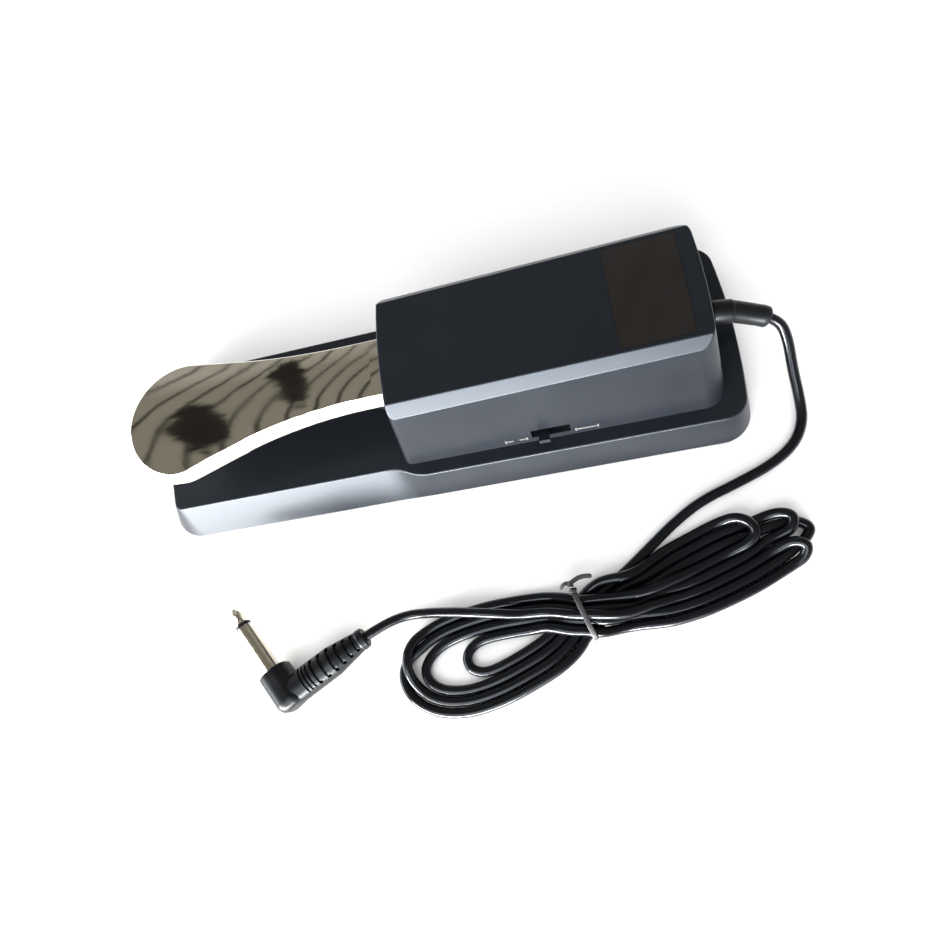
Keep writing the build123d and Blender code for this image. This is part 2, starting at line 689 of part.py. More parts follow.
def grip_radius(at):
    """The grip's radius at a distance from its root."""
    for (near, start), (far, end) in zip(GRIP_FORM, GRIP_FORM[1:]):
        if start <= at <= end:
            return near + (far - near) * (at - start) / (end - start)


def plug_grip():
    """Tapering grip, with crescent grooves over and under it that stop short of its sides."""
    outline = Polyline((0, 0), *GRIP_FORM, (0, GRIP_LEN), (0, 0))
    grip = revolve(Plane.XZ * make_face(outline), Axis.Z)
    for at, half in GRIP_GROOVES:
        radius = grip_radius(at)
        ring = Pos(0, 0, at) * (Cylinder(8, 2 * half) - Cylinder(radius - 0.9, 4))
        side = 0.86 * radius
        grip -= ring & box(-9, 9, -side, side, at - 2, at + 2)
    return Plane(origin=GRIP_ROOT, z_dir=GRIP_DIR, x_dir=(0, 0, 1)) * grip


def plug_body():
    """Moulded elbow and the grip that the cord leaves by."""
    shaft_frame = Plane(origin=ELBOW, z_dir=SHAFT_DIR, x_dir=(0, 0, 1))
    head = Box(12.4, 12.4, 17.0, align=(Align.CENTER, Align.CENTER, Align.MIN))
    head = fillet(head.edges().filter_by(Axis.Z), 5.2)
    head = fillet(head.edges().group_by(Axis.Z)[0], 4.0)
    head = fillet(head.edges().group_by(Axis.Z)[-1], 0.8)
    body = shaft_frame * Pos(0, 0, HEAD_FACE - 17.0) * head + plug_grip()
    return body - shaft_frame * Pos(0, 0, 8) * Cylinder(1.6, 10)


def plug_sleeve():
    """The 6.35 mm sleeve, with its core inside the elbow."""
    frame = Plane(origin=ELBOW, z_dir=SHAFT_DIR)
    sleeve = Pos(0, 0, HEAD_FACE + SLEEVE_LEN / 2) * Cylinder(JACK_R, SLEEVE_LEN)
    sleeve += Pos(0, 0, 7.0) * Cylinder(1.55, 6.0)
    return frame * sleeve


def plug_insulator():
    frame = Plane(origin=ELBOW, z_dir=SHAFT_DIR)
    return frame * Pos(0, 0, HEAD_FACE + SLEEVE_LEN + RING_LEN / 2) * Cylinder(JACK_R, RING_LEN)


def plug_tip():
    """Tip contact: a waist behind a rounded nose."""
    outline = Polyline((0, 0), (2.9, 0), (2.9, 0.5), (1.9, 2.4), (2.9, 4.3), (2.4, 5.6), (1.2, 7.6), (0, 8.2), (0, 0))
    nose = revolve(Plane.XZ * make_face(outline), Axis.Z)
    frame = Plane(origin=ELBOW, z_dir=SHAFT_DIR)
    return frame * Pos(0, 0, HEAD_FACE + SLEEVE_LEN + RING_LEN) * nose


BUILDERS = [
    base_shell, rubber_mat, weight_plate, plate_screws, housing_cover, housing_screws, label_plate,
    pedal_lever, lever_bushes, spring_seat, return_spring, spring_cup, pivot_bracket, bracket_screws,
    pivot_pin, pin_clips, down_stop_pad, rest_stop_pad, circuit_board, board_screws, momentary_switch,
    switch_plunger, polarity_switch, polarity_slider, inner_cord, cable_clamp, clamp_screws,
    signal_wires, switch_wires, strain_relief, cord_run, cord_hank, cord_lead, cable_tie, plug_body,
    plug_sleeve, plug_insulator, plug_tip,
]

for builder in BUILDERS:
    print(builder.__name__)
    save(builder(), builder.__name__)
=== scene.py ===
import json
import math

import bpy
import numpy as np
from mathutils import Matrix, Vector


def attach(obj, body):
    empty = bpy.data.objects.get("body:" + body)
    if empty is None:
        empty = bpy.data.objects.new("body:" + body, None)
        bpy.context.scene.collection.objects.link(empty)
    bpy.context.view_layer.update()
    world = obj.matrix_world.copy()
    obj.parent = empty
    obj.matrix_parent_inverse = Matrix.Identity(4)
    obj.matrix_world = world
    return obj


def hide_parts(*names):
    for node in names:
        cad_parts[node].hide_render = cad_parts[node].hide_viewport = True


# Sustain pedal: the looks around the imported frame. Metres, +Z up, +X to the cord end.

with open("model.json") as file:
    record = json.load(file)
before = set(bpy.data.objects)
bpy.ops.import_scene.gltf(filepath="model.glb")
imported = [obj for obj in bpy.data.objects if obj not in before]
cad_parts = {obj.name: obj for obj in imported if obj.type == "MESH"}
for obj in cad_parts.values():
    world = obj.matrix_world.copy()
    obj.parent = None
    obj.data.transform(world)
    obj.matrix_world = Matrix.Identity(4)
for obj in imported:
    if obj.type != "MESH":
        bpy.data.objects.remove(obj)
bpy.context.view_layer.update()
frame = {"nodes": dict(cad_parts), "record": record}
nodes = frame["nodes"]
MM = 0.001


# ---------------------------------------------------------------- camera
CAMERA_AT = Vector((0.0629, -0.1154, 0.2548))
AZIMUTH = 31.24        # degrees round the object, from -Y towards +X
ELEVATION = 69.32
ROLL = -40.0
VIEW_ANGLE = 70.1


def make_camera():
    azimuth, elevation, roll = map(math.radians, (AZIMUTH, ELEVATION, ROLL))
    right = Vector((math.cos(azimuth), math.sin(azimuth), 0))
    back = Vector((math.sin(azimuth) * math.cos(elevation),
                   -math.cos(azimuth) * math.cos(elevation), math.sin(elevation)))
    up = back.cross(right)
    turned_right = right * math.cos(roll) + up * math.sin(roll)
    turned_up = up * math.cos(roll) - right * math.sin(roll)
    camera = bpy.data.objects.new("camera", bpy.data.cameras.new("camera"))
    camera.data.angle = math.radians(VIEW_ANGLE)
    camera.data.clip_start = 0.01
    camera.matrix_world = Matrix.Translation(CAMERA_AT) @ Matrix(
        (turned_right, turned_up, back)).transposed().to_4x4()
    bpy.context.scene.collection.objects.link(camera)
    bpy.context.scene.camera = camera


make_camera()


# ---------------------------------------------------------------- finishes
SHAFT_DEG = 124.0      # the plug's shaft, round from +X


class Nodes:
    """A node tree, built from sockets."""

    def __init__(self, tree, coordinates):
        self.tree = tree
        self.place = self.node("ShaderNodeTexCoord").outputs[coordinates]

    def node(self, kind, **settings):
        made = self.tree.nodes.new(kind)
        for key, value in settings.items():
            setattr(made, key, value)
        return made

    def link(self, source, target):
        if isinstance(source, bpy.types.NodeSocket):
            self.tree.links.new(source, target)
        else:
            target.default_value = source

    def stretched(self, scale, turn=0.0):
        mapping = self.node("ShaderNodeMapping")
        self.link(self.place, mapping.inputs["Vector"])
        mapping.inputs["Scale"].default_value = scale
        mapping.inputs["Rotation"].default_value = (0, 0, turn)
        return mapping.outputs["Vector"]

    def noise(self, scale, detail=3.0, rough=0.5, warp=0.0, vector=None):
        made = self.node("ShaderNodeTexNoise")
        self.link(vector or self.place, made.inputs["Vector"])
        made.inputs["Scale"].default_value = scale
        made.inputs["Detail"].default_value = detail
        made.inputs["Roughness"].default_value = rough
        made.inputs["Distortion"].default_value = warp
        return made.outputs["Fac"]

    def cells(self, scale):
        made = self.node("ShaderNodeTexVoronoi")
        self.link(self.place, made.inputs["Vector"])
        made.inputs["Scale"].default_value = scale
        return made.outputs["Distance"]

    def bands(self, scale, direction="X", warp=0.0, vector=None):
        made = self.node("ShaderNodeTexWave", bands_direction=direction)
        self.link(vector or self.place, made.inputs["Vector"])
        made.inputs["Scale"].default_value = scale
        made.inputs["Distortion"].default_value = warp
        return made.outputs["Fac"]

    def span(self, value, low, high, to_low, to_high):
        made = self.node("ShaderNodeMapRange")
        for socket, number in zip(made.inputs[1:5], (low, high, to_low, to_high)):
            socket.default_value = number
        self.link(value, made.inputs[0])
        return made.outputs[0]

    def mix(self, share, first, second):
        made = self.node("ShaderNodeMix", data_type="RGBA")
        self.link(share, made.inputs[0])
        for socket, colour in ((made.inputs[6], first), (made.inputs[7], second)):
            self.link(colour if isinstance(colour, bpy.types.NodeSocket) else (*colour, 1), socket)
        return made.outputs[2]

    def bump(self, height, depth, strength):
        made = self.node("ShaderNodeBump")
        made.inputs["Strength"].default_value = strength
        made.inputs["Distance"].default_value = depth
        self.link(height, made.inputs["Height"])
        return made.outputs["Normal"]

    def math(self, operation, first, second):
        made = self.node("ShaderNodeMath", operation=operation)
        self.link(first, made.inputs[0])
        self.link(second, made.inputs[1])
        return made.outputs[0]


class Finish(Nodes):
    """One procedural material. Coordinates are the row frame's metres."""

    def __init__(self, name, roughness=0.5, metallic=0.0, ior=1.5, coat=0.0, coat_roughness=0.1):
        self.material = bpy.data.materials.new(name)
        self.material.use_nodes = True
        super().__init__(self.material.node_tree, "Object")
        self.shader = self.tree.nodes["Principled BSDF"]
        self.put("Roughness", roughness)
        self.put("Metallic", metallic)
        self.put("IOR", ior)
        self.put("Coat Weight", coat)
        self.put("Coat Roughness", coat_roughness)

    def put(self, socket, value):
        self.link(value, self.shader.inputs[socket])
        return self


def black_plastic():
    """Satin moulded plastic: fine spark grain, soft sheen patches and a little pale dust."""
    f = Finish("black_plastic", ior=1.5)
    dust = f.span(f.noise(2600, 1, 0.4), 0.74, 0.8, 0, 0.35)
    black = f.mix(f.noise(22, 3), (0.0035, 0.0045, 0.0065), (0.005, 0.006, 0.009))
    f.put("Base Color", f.mix(dust, black, (0.08, 0.08, 0.085)))
    f.put("Specular IOR Level", 0.42)
    f.put("Specular Tint", (0.74, 0.85, 1.0, 1))
    f.put("Roughness", f.span(f.noise(38, 4, 0.6), 0.3, 0.7, 0.34, 0.42))
    f.put("Normal", f.bump(f.noise(3200, 2, 0.6), 0.00002, 0.5))
    return f.material


def gloss_label():
    """Lacquered inlay, a touch warmer than the plastic round it."""
    f = Finish("gloss_label", ior=1.52, coat=0.35, coat_roughness=0.06)
    f.put("Base Color", f.mix(f.noise(60, 3), (0.005, 0.004, 0.0042), (0.008, 0.007, 0.0074)))
    f.put("Roughness", f.span(f.noise(90, 4, 0.65), 0.35, 0.7, 0.10, 0.2))
    return f.material


def chrome_plate():
    """Polished chrome with a faint warm cast, hazed where shoes have rubbed it."""
    f = Finish("chrome_plate", metallic=1.0)
    haze = f.noise(30, 4, 0.6, 0.4, f.stretched((0.5, 2.0, 1.0)))
    f.put("Base Color", f.mix(haze, (0.82, 0.80, 0.75), (0.74, 0.71, 0.64)))
    scratch = f.noise(520, 3, 0.7, 0, f.stretched((0.12, 2.4, 1.0)))
    f.put("Roughness", f.span(haze, 0.35, 0.7, 0.035, 0.08))
    f.put("Normal", f.bump(scratch, 0.000008, 0.35))
    return f.material


def nickel_plate():
    """Turned and plated plug parts, with fine rings round the shaft."""
    f = Finish("nickel_plate", metallic=1.0)
    f.put("Base Color", f.mix(f.noise(400, 3), (0.74, 0.70, 0.61), (0.60, 0.56, 0.46)))
    f.put("Roughness", f.span(f.noise(500, 3), 0.3, 0.7, 0.14, 0.26))
    turning = f.bands(900, "X", 0, f.stretched((1, 1, 1), math.radians(-SHAFT_DEG)))
    f.put("Normal", f.bump(turning, 0.000006, 0.4))
    return f.material


def bright_steel(name, tones, rough, spangle):
    """Plated or oiled steel: crystalline spangle in colour and gloss, and fine rolling lines."""
    f = Finish(name, metallic=1.0)
    flakes = f.cells(spangle)
    f.put("Base Color", f.mix(flakes, *tones))
    f.put("Roughness", f.span(f.noise(spangle * 0.7, 4), 0.3, 0.7, *rough))
    f.put("Normal", f.bump(f.noise(900, 2, 0.5, 0, f.stretched((0.2, 2.0, 1.0))), 0.00001, 0.4))
    return f.material


def soft_rubber():
    """Dull grainy rubber of the mat and the stop pads."""
    f = Finish("black_rubber", ior=1.45)
    f.put("Base Color", f.mix(f.noise(120, 4), (0.016, 0.016, 0.017), (0.034, 0.033, 0.033)))
    f.put("Roughness", f.span(f.noise(300, 3), 0.3, 0.7, 0.72, 0.9))
    f.put("Normal", f.bump(f.noise(2500, 3, 0.7), 0.00005, 0.7))
    return f.material


def moulded(name, tones, rough, grain=2200):
    """A plain moulding in two close tones."""
    f = Finish(name, ior=1.5)
    f.put("Base Color", f.mix(f.noise(90, 3), *tones))
    f.put("Roughness", f.span(f.noise(160, 3), 0.3, 0.7, *rough))
    f.put("Normal", f.bump(f.noise(grain, 2), 0.00002, 0.4))
    return f.material


def circuit_green():
    """Solder mask with copper runs showing through."""
    f = Finish("board_green", ior=1.5, coat=0.4, coat_roughness=0.2)
    tracks = f.span(f.bands(95, "Y", 3.0), 0.8, 0.86, 0, 1)
    f.put("Base Color", f.mix(tracks, (0.02, 0.12, 0.045), (0.05, 0.24, 0.10)))
    f.put("Roughness", f.span(f.noise(400, 2), 0.3, 0.7, 0.3, 0.42))
    f.put("Normal", f.bump(tracks, 0.00003, 0.6))
    return f.material


def cord_jacket():
    """Glossy flexible PVC with long faint ripples."""
    f = Finish("cord_jacket", ior=1.52)
    f.put("Base Color", f.mix(f.noise(60, 3), (0.0016, 0.0018, 0.0026), (0.003, 0.003, 0.004)))
    f.put("Roughness", f.span(f.noise(140, 4, 0.6), 0.3, 0.7, 0.15, 0.24))
    f.put("Specular IOR Level", 0.38)
    f.put("Specular Tint", (0.84, 0.91, 1.0, 1))
    f.put("Normal", f.bump(f.noise(700, 2), 0.00003, 0.35))
    return f.material


def boot_rubber():
    """Soft dull moulding of the cord's sleeve and plug."""
    f = Finish("boot_rubber", ior=1.5)
    f.put("Base Color", f.mix(f.noise(90, 3), (0.002, 0.0022, 0.003), (0.004, 0.0042, 0.005)))
    f.put("Specular IOR Level", 0.3)
    f.put("Specular Tint", (0.84, 0.92, 1.0, 1))
    f.put("Roughness", f.span(f.noise(160, 3), 0.3, 0.7, 0.32, 0.44))
    f.put("Normal", f.bump(f.noise(1800, 2), 0.00001, 0.2))
    return f.material


def white_print():
    """Worn pale ink of the switch marks."""
    f = Finish("white_print", ior=1.5)
    f.put("Base Color", f.mix(f.noise(2400, 2), (0.05, 0.05, 0.055), (0.08, 0.08, 0.085)))
    f.put("Roughness", f.span(f.noise(900, 2), 0.3, 0.7, 0.45, 0.6))
    return f.material


FINISH = {
    "black_plastic": black_plastic(),
    "gloss_label": gloss_label(),
    "chrome_plate": chrome_plate(),
    "nickel_plate": nickel_plate(),
    "zinc_steel": bright_steel(
        "zinc_steel", ((0.52, 0.54, 0.56), (0.66, 0.67, 0.68)), (0.30, 0.46), 160),
    "spring_steel": bright_steel(
        "spring_steel", ((0.36, 0.36, 0.37), (0.48, 0.47, 0.46)), (0.24, 0.36), 300),
    "screw_steel": bright_steel(
        "screw_steel", ((0.10, 0.10, 0.11), (0.18, 0.18, 0.19)), (0.32, 0.46), 420),
    "black_rubber": soft_rubber(),
    "white_nylon": moulded("white_nylon", ((0.66, 0.65, 0.60), (0.76, 0.75, 0.71)), (0.38, 0.5)),
    "switch_plastic": moulded(
        "switch_plastic", ((0.018, 0.018, 0.02), (0.03, 0.03, 0.032)), (0.3, 0.42)),
    "board_green": circuit_green(),
    "wire_red": moulded("wire_red", ((0.36, 0.03, 0.025), (0.48, 0.05, 0.04)), (0.34, 0.46), 900),
    "cord_jacket": cord_jacket(),
    "boot_rubber": boot_rubber(),
    "tie_plastic": moulded(
        "tie_plastic", ((0.03, 0.031, 0.034), (0.05, 0.051, 0.055)), (0.35, 0.5)),
}
OWN_FINISH = {"plug_body": "boot_rubber"}
PRINT = white_print()

for part in frame["record"]["subparts"]:
    for holder in nodes[part["node"]].material_slots:
        holder.material = FINISH[OWN_FINISH.get(part["node"], part["material_slot"])]


# ---------------------------------------------------------------- mesh helpers
def add_mesh(name, points, faces, slot, body="base", material=None):
    """A smooth-shaded piece from points in millimetres."""
    mesh = bpy.data.meshes.new(name)
    mesh.from_pydata([tuple(MM * c for c in p) for p in points], [], faces)
    mesh.update()
    piece = bpy.data.objects.new(name, mesh)
    bpy.context.scene.collection.objects.link(piece)
    mesh.materials.append(material or FINISH[slot])
    for polygon in mesh.polygons:
        polygon.use_smooth = True
    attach(piece, body)
    return piece


def ring_faces(rings, around, closed, first=0):
    """Quads between rings of points, with flat ends unless the rings close on themselves."""
    faces = []
    for i in range(rings if closed else rings - 1):
        here, there = first + i * around, first + (i + 1) % rings * around
        for j in range(around):
            k = (j + 1) % around
            faces.append((here + j, here + k, there + k, there + j))
    if not closed:
        faces.append(tuple(first + j for j in reversed(range(around))))
        faces.append(tuple(first + (rings - 1) * around + j for j in range(around)))
    return faces


def centre_line(points):
    """Points along the smooth curve that the given ones control."""
    curve = bpy.data.curves.new("centre_line", "CURVE")
    curve.dimensions = "3D"
    curve.resolution_u = 12
    shape_curve(curve, points)
    holder = bpy.data.objects.new("centre_line", curve)
    mesh = bpy.data.meshes.new_from_object(holder)
    line = np.array([tuple(v.co) for v in mesh.vertices])
    bpy.data.objects.remove(holder)
    bpy.data.curves.remove(curve)
    bpy.data.meshes.remove(mesh)
    return line


def shape_curve(curve, points):
    spline = curve.splines.new("NURBS")
    spline.points.add(len(points) - 1)
    for point, place in zip(spline.points, points):
        point.co = (*place, 1)
    spline.order_u = 3
    spline.use_endpoint_u = True


def unit(vector):
    return vector / np.linalg.norm(vector)


def lengths_along(line):
    return np.concatenate([[0], np.cumsum(np.linalg.norm(np.diff(line, axis=0), axis=1))])


def turned_along(line, outline, around):
    """Rings of a turned form whose outline (distance, radius) follows a centre line."""
    look = 0.5         # how far ahead and behind the direction is taken
    at = lengths_along(line)
    points = []
    for distance, radius in outline:
        spot = np.array([np.interp(distance, at, line[:, k]) for k in range(3)])
        ahead = np.array([np.interp(distance + look, at, line[:, k]) for k in range(3)])
        behind = np.array([np.interp(distance - look, at, line[:, k]) for k in range(3)])
        side = unit(np.cross(unit(ahead - behind), [0, 0, 1]))
        up = np.cross(side, unit(ahead - behind))
        for j in range(around):
            turn = 2 * math.pi * j / around
            points.append(spot + radius * (math.cos(turn) * side + math.sin(turn) * up))
    return points


def ribbon_along(line, section, first_side, closed):
    """Rings of a strip whose section (across, out) is carried along a line without twisting."""
    points = []
    side = unit(np.array(first_side, float))
    for i, spot in enumerate(line):
        before = line[i - 1] if i or closed else spot
        after = line[(i + 1) % len(line)] if i + 1 < len(line) or closed else spot
        way = unit(after - before)
        side = unit(side - way * np.dot(side, way))
        out = np.cross(side, way)
        points += [spot + across * side + away * out for across, away in section]
    return points


# ---------------------------------------------------------------- cord and hank
# Points here and in the next three sections are in millimetres.
CORD_R = 1.9
EXIT = (130.2, -3.4, 22.4)
RUN = [EXIT, (134.37, -4.72, 20.42), (136.6, -10.4, 16.0), (137.3, -19.5, 9.4),
       (138.3, -28.5, 4.6), (138.0, -37.0, 2.2), (133.4, -45.1, 2.0), (124.3, -51.2, 2.0),
       (111.5, -55.9, 2.0), (97.0, -60.4, 2.0), (86.0, -66.8, 2.0), (76.0, -74.2, 2.0),
       (66.5, -81.2, 2.0)]
LEAD = [(14.0, -90.4, 8.6), (1.0, -88.0, 6.4), (-9.0, -86.6, 3.8), (-18.6, -86.0, 2.3),
        (-27.11, -88.2, 4.6), (-35.03, -92.14, 5.64)]

TIE = np.array([48.6, -95.7])
TIE_TURN = math.radians(16.7)
ALONG = np.array([math.cos(TIE_TURN), math.sin(TIE_TURN)])
ACROSS = np.array([-math.sin(TIE_TURN), math.cos(TIE_TURN)])
NODE_GAP = 5.0         # between the points of the turns
SPAN_STEPS = 12        # fine points between two knots, before they are spaced out
TIE_REACH = (2.6, 12)  # half length and half width in which the band holds the turns still

# How the turns settle. The shares and the fall are for each round.
ROUNDS = 420
SINK = 0.25            # fall in millimetres
HOLD = 0.03            # share of the way back to where they were laid
STIFF = np.array([0.15, 0.15, 0.35])  # share of a changed bend that is taken back, x, y and z
STRETCH = 0.3          # share of a stretch that is taken back
NUDGE = 1.3            # how strongly two stretches of cord part
FLOOR_GAP = 0.05       # under the cord

# Where each pass crosses the tie, (across, height): leftward ones below, rightward ones over them,
# and the last one on top.
LEFTWARD = [(1.9, 1.95), (-5.7, 1.95), (-1.9, 1.95), (5.7, 1.95), (-0.2, 9.0)]
RIGHTWARD = [(-1.9, 5.75), (1.9, 5.75), (5.7, 5.75), (-5.7, 5.75)]
# Each half turn: the plan it is laid along, and how many cords high at its start, middle and end.
LEFT_TURNS = [
    ([(30, -107), (14, -113.8), (2, -116.4), (-9, -114.8), (-14, -108.9), (-11, -102.6), (-2, -97),
      (12, -94), (30, -93.6)], (0, 0.3, 1.0)),
    ([(31, -113.4), (14, -121), (0, -123.9), (-12, -121.8), (-20, -115), (-21, -105), (-12, -96),
      (6, -91.8), (28, -92)], (0, 0, 0.9)),
    ([(31, -110), (14, -117.4), (0, -119.6), (-13, -116.6), (-20.5, -108.5), (-18.5, -99.5),
      (-9, -93), (8, -89.8), (28, -89.4)], (0, 0.5, 1.2)),
    ([(32, -104.6), (20, -110), (10.5, -112), (4.2, -109), (3.2, -103.6), (8.5, -98), (18, -95),
      (32, -95)], (0.2, 0.4, 1.0))]
RIGHT_TURNS = [
    ([(66, -94.4), (82, -93.6), (98, -90.6), (112, -86), (123, -81.2), (130.6, -78.4),
      (130.2, -74.6), (121, -74), (106, -79.4), (90, -85.5), (72, -90.2)], (1.0, 0.7, 0.3)),
    ([(66, -92.6), (84, -90.4), (100, -86.2), (114, -81.8), (124.5, -78), (126.3, -73.2),
      (118.5, -70.4), (104, -74), (88, -81.4), (70, -88.4)], (1.2, 0.9, 0.3)),
    ([(66, -90.4), (82, -87.4), (97, -83), (110, -79.4), (114, -75.4), (109.5, -71),
      (100, -70.8), (86, -75.8), (70, -84)], (1.4, 2.0, 1.0)),
    ([(66, -95), (84, -93.8), (102, -90.6), (117, -87), (126.6, -84.4), (128, -80.8),
      (122.5, -79.4), (114, -83), (100, -87.6), (84, -91.2), (66, -93)], (0.8, 1.2, 2.4))]


def slot_point(place):
    across, height = place
    return (*(TIE + across * ACROSS), height)


def half_turn(plan, heights):
    """A half turn's points, at its height above the floor."""
    share = np.linspace(0, 1, len(plan))
    high = CORD_R + 2 * CORD_R * np.interp(share, (0, 0.5, 1), heights)
    return [(*spot, up) for spot, up in zip(plan, high)]


def blended(first, second, start, end, at):
    return ((end - at) * first + (at - start) * second) / (end - start)


def smooth_through(points):
    """A smooth line through points: a centripetal Catmull-Rom spline, without its end spans."""
    line = []
    for four in zip(points, points[1:], points[2:], points[3:]):
        p, q, r, s = map(np.array, four)
        t = np.cumsum([0.0] + [math.sqrt(np.linalg.norm(step)) for step in (q - p, r - q, s - r)])
        for at in np.linspace(t[1], t[2], SPAN_STEPS, endpoint=False):
            first = blended(p, q, t[0], t[1], at)
            middle = blended(q, r, t[1], t[2], at)
            last = blended(r, s, t[2], t[3], at)
            line.append(blended(blended(first, middle, t[0], t[2], at),
                                blended(middle, last, t[1], t[3], at), t[1], t[2], at))
    return np.array(line)


def laid_turns():
    """The hank's points as first laid down, from the run to the lead."""
    knots = [RUN[-2], RUN[-1]]
    for k in range(4):
        knots += [slot_point(LEFTWARD[k]), *half_turn(*LEFT_TURNS[k])]
        knots += [slot_point(RIGHTWARD[k]), *half_turn(*RIGHT_TURNS[k])]
    knots += [slot_point(LEFTWARD[4]), LEAD[0], LEAD[1]]
    return evenly(smooth_through(knots))[1:]


def evenly(points):
    """The same line with its points NODE_GAP apart, without the last one."""
    length = lengths_along(points)
    at = np.linspace(0, length[-1], max(2, round(length[-1] / NODE_GAP) + 1))
    return np.stack([np.interp(at, length, column) for column in points.T], axis=1)[:-1]


def closest_shares(p, q, r, s):
    """How far along each of many pairs of segments, p-q and r-s, their closest points are."""
    first, second, gap = q - p, s - r, p - r
    a, e, f = (first * first).sum(1), (second * second).sum(1), (second * gap).sum(1)
    c, b = (first * gap).sum(1), (first * second).sum(1)
    u = np.clip((b * f - c * e) / np.maximum(a * e - b * b, 1e-9), 0, 1)
    v = (b * u + f) / e
    kept = np.clip(v, 0, 1)
    return np.where(v != kept, np.clip((b * kept - c) / a, 0, 1), u), kept


def settle(line, fixed):
    """Lets the turns sink onto the floor and onto each other, a diameter apart."""
    first = line.copy()
    bend = first[:-2] - 2 * first[1:-1] + first[2:]
    bend[:, 2] = 0
    spacing = np.linalg.norm(np.diff(first[:, :2], axis=0), axis=1)
    free = (~fixed).astype(float)[:, None]
    one, other = np.triu_indices(len(line) - 1, 3)
    for _ in range(ROUNDS):
        line[:, 2] -= SINK * free[:, 0]
        for _ in range(2):  # the plan keeps its curves, and the height straightens
            error = STIFF * (line[:-2] - 2 * line[1:-1] + line[2:] - bend)
            line[1:-1] += error / 3 * free[1:-1]
            line[:-2] -= error / 6 * free[:-2]
            line[2:] -= error / 6 * free[2:]
        line[:, :2] += HOLD * (first[:, :2] - line[:, :2]) * free
        for _ in range(3):
            push_apart(line, free, one, other)
        step = np.diff(line, axis=0)
        far = np.linalg.norm(step, axis=1)
        slack = (STRETCH * (far - spacing) / far)[:, None] * step
        line[:-1] += 0.5 * slack * free[:-1]
        line[1:] -= 0.5 * slack * free[1:]
        line[:, 2] = np.maximum(line[:, 2], CORD_R + FLOOR_GAP)
    return line


def push_apart(line, free, one, other):
    """Moves apart every two stretches that are nearer than a diameter."""
    low = np.minimum(line[:-1], line[1:]) - CORD_R
    high = np.maximum(line[:-1], line[1:]) + CORD_R
    near = ((low[one] <= high[other]) & (low[other] <= high[one])).all(1)
    a, b = one[near], other[near]
    u, v = closest_shares(line[a], line[a + 1], line[b], line[b + 1])
    gap = (line[b] + v[:, None] * (line[b + 1] - line[b])
           - line[a] - u[:, None] * (line[a + 1] - line[a]))
    far = np.linalg.norm(gap, axis=1)
    hit = far < 2 * CORD_R
    a, b, u, v = a[hit], b[hit], u[hit], v[hit]
    push = 0.5 * ((2 * CORD_R - far) / np.maximum(far, 1e-6))[hit, None] * gap[hit]
    move, weight = np.zeros_like(line), np.zeros(len(line))
    for index, share, sign in ((a, 1 - u, -1), (a + 1, u, -1), (b, 1 - v, 1), (b + 1, v, 1)):
        np.add.at(move, index, sign * push * share[:, None])
        np.add.at(weight, index, share)
    line += NUDGE * move / np.maximum(weight, 1)[:, None] * free
    line[:, 2] = np.maximum(line[:, 2], CORD_R + FLOOR_GAP)


def cord_route():
    """The whole cord: from its exit along the floor, through the hank and on to the plug."""
    line = np.vstack([RUN, laid_turns(), LEAD])
    fixed = np.zeros(len(line), bool)
    fixed[:len(RUN)] = True
    fixed[-len(LEAD):] = True
    beside = (line[:, :2] - TIE) @ np.column_stack([ALONG, ACROSS])
    fixed |= (np.abs(beside) < TIE_REACH).all(1)
    return settle(line, fixed)


def add_cord(name, route, radius):
    curve = bpy.data.curves.new(name, "CURVE")
    curve.dimensions = "3D"
    curve.bevel_depth = radius
    curve.bevel_resolution = 5
    curve.resolution_u = 6
    shape_curve(curve, route)
    curve.materials.append(FINISH["cord_jacket"])
    piece = bpy.data.objects.new(name, curve)
    bpy.context.scene.collection.objects.link(piece)
    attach(piece, "base")
    return piece


route = cord_route() * MM
cord = add_cord("cord", route, CORD_R * MM)
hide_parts("cord_run", "cord_hank", "cord_lead")


# ---------------------------------------------------------------- twist tie
TIE_HALF = 9.5         # half width over the turns
TIE_RISE = 5.3         # half height
TIE_MIDDLE = 5.75      # height of its middle
TIE_SQUARE = 0.85      # 1 is an ellipse, less is squarer
TIE_POINTS = 72
TWIST_AT = (8.7, 8.3)  # where the ends meet, across and height
TWIST_RUN = (3.3, 0.6)  # how far they run on while twisted, the same way
TWIST_R = 0.75
TWIST_POINTS = 28
BOW = 1.1              # how far a free end bows out
BOW_POINTS = 8
# The strip's section, (across, out): flat wings beside a wire.
STRIP = [(-0.95, 0.0), (-0.95, 0.22), (-0.42, 0.30), (-0.2, 0.56),
         (0.2, 0.56), (0.42, 0.30), (0.95, 0.22), (0.95, 0.0)]


def at_tie(along, across, z):
    return np.array([*(TIE + along * ALONG + across * ACROSS), z])


def tie_band():
    """One closed loop round the waist of the hank, squarish where it presses on the turns."""
    loop = []
    for i in range(TIE_POINTS):
        turn = 2 * math.pi * i / TIE_POINTS
        c, s = math.cos(turn), math.sin(turn)
        across = TIE_HALF * math.copysign(abs(c) ** TIE_SQUARE, c)
        up = TIE_RISE * math.copysign(abs(s) ** TIE_SQUARE, s)
        loop.append(at_tie(0, across, TIE_MIDDLE + up))
    return np.array(loop)


